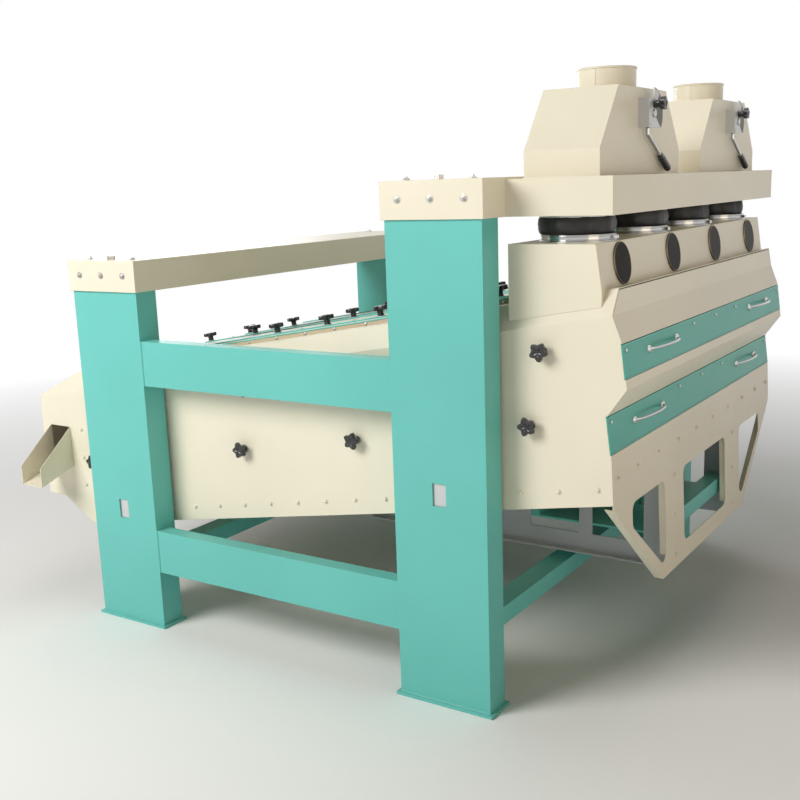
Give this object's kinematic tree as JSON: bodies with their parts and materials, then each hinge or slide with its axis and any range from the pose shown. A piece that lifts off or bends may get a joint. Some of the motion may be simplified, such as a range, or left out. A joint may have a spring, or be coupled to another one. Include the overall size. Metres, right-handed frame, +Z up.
{
  "type": "gyratory sifter",
  "caption": "Gyratory sifter for grain products: inclined box with screen drawers hung on ropes inside box posts, fed through hoppers and flexible sleeves",
  "frame": {"origin": "on the floor under the middle of the machine's overall box", "axes": "+X along the machine towards the feed end, +Y across, +Z up"},
  "size_m": [2.6855, 2.128, 2.045],
  "materials": {
    "teal_paint": "gloss turquoise paint",
    "cream_paint": "gloss cream paint",
    "grey_paint": "satin grey paint",
    "chrome": "polished",
    "zinc": "zinc plated",
    "black_rubber": "smooth",
    "black_plastic": "smooth",
    "dark_glass": "dark",
    "silver_paint": "silver paint",
    "wood": "bare",
    "screen_mesh": "woven wire",
    "cast": "machined"
  },
  "bodies": {
    "frame": {"feed_posts": "teal_paint", "outlet_posts": "teal_paint", "foot_plates": "teal_paint", "feed_cap_beam": "cream_paint", "outlet_cap_beam": "cream_paint", "cap_bolts": "zinc", "upper_side_rails": "teal_paint", "lower_side_rails": "teal_paint", "cross_tubes": "teal_paint", "feed_platform": "cream_paint", "hoppers": "cream_paint", "inlet_spigots": "cream_paint", "damper_brackets": "silver_paint", "feed_sleeves": "black_rubber", "rope_anchors": "zinc"},
    "damper_near": {"damper_shaft_near": "zinc", "damper_lever_near": "silver_paint", "damper_grip_near": "black_plastic"},
    "damper_far": {"damper_shaft_far": "zinc", "damper_lever_far": "silver_paint", "damper_grip_far": "black_plastic"},
    "lock_knob_near": {"lock_knob_near": "black_plastic"},
    "lock_knob_far": {"lock_knob_far": "black_plastic"},
    "sieve": {"side_panels": "cream_paint", "floor_pan": "cream_paint", "deck_plate": "cream_paint", "top_covers": "cream_paint", "clamp_bars": "teal_paint", "top_knobs": "black_plastic", "side_knobs": "black_plastic", "feed_box": "cream_paint", "sight_glasses": "dark_glass", "inlet_collars": "chrome", "upper_end_panel": "cream_paint", "drawer_lip": "cream_paint", "apron": "cream_paint", "outlet_hood": "cream_paint", "side_chutes": "cream_paint", "screen_runners": "zinc", "keels": "grey_paint", "cross_members": "teal_paint", "drive_plate": "teal_paint", "bearing_housing": "cast", "motor": "teal_paint", "drive_belts": "black_rubber", "hanger_arms": "silver_paint", "suspension_ropes": "zinc"},
    "upper_drawer": {"upper_drawer_frame": "wood", "upper_screen": "screen_mesh", "upper_drawer_front": "teal_paint", "upper_drawer_handles": "chrome"},
    "lower_drawer": {"lower_drawer_frame": "wood", "lower_screen": "screen_mesh", "lower_drawer_front": "teal_paint", "lower_drawer_handles": "chrome"},
    "eccentric": {"eccentric_wheel": "cast", "eccentric_shaft": "zinc", "balance_weight": "cast"},
    "motor_rotor": {"motor_pulley": "cast", "motor_shaft": "zinc"}
  },
  "joints": [
    {"name": "eccentric_spin", "type": "hinge", "parent": "frame", "child": "eccentric", "pos_m": [0.4435, 0, 0.433], "axis": [0, 0, 1], "continuous": true},
    {"name": "sieve_gyration", "type": "hinge", "parent": "eccentric", "child": "sieve", "pos_m": [0.45, 0, 0.433], "axis": [0, 0, 1], "continuous": true},
    {"name": "motor_spin", "type": "hinge", "parent": "sieve", "child": "motor_rotor", "pos_m": [0.99, 0, 0.433], "axis": [0, 0, 1], "continuous": true},
    {"name": "upper_drawer_slide", "type": "slide", "parent": "sieve", "child": "upper_drawer", "axis": [0.9854, 0, 0.1702], "range_m": [0, 0.9]},
    {"name": "lower_drawer_slide", "type": "slide", "parent": "sieve", "child": "lower_drawer", "axis": [0.9854, 0, 0.1702], "range_m": [0, 0.9]},
    {"name": "damper_near_turn", "type": "hinge", "parent": "frame", "child": "damper_near", "pos_m": [1.218, -0.464, 1.898], "axis": [1, 0, 0], "range_deg": [0, 75]},
    {"name": "lock_knob_near_turn", "type": "hinge", "parent": "frame", "child": "lock_knob_near", "pos_m": [1.218, -0.464, 1.926], "axis": [1, 0, 0], "continuous": true},
    {"name": "damper_far_turn", "type": "hinge", "parent": "frame", "child": "damper_far", "pos_m": [1.218, 0.464, 1.898], "axis": [1, 0, 0], "range_deg": [0, 75]},
    {"name": "lock_knob_far_turn", "type": "hinge", "parent": "frame", "child": "lock_knob_far", "pos_m": [1.218, 0.464, 1.926], "axis": [1, 0, 0], "continuous": true}
  ],
  "couplings": [
    {"joint": "sieve_gyration", "follows": "eccentric_spin", "ratio": -1},
    {"joint": "motor_spin", "follows": "eccentric_spin", "ratio": 2.8584}
  ]
}
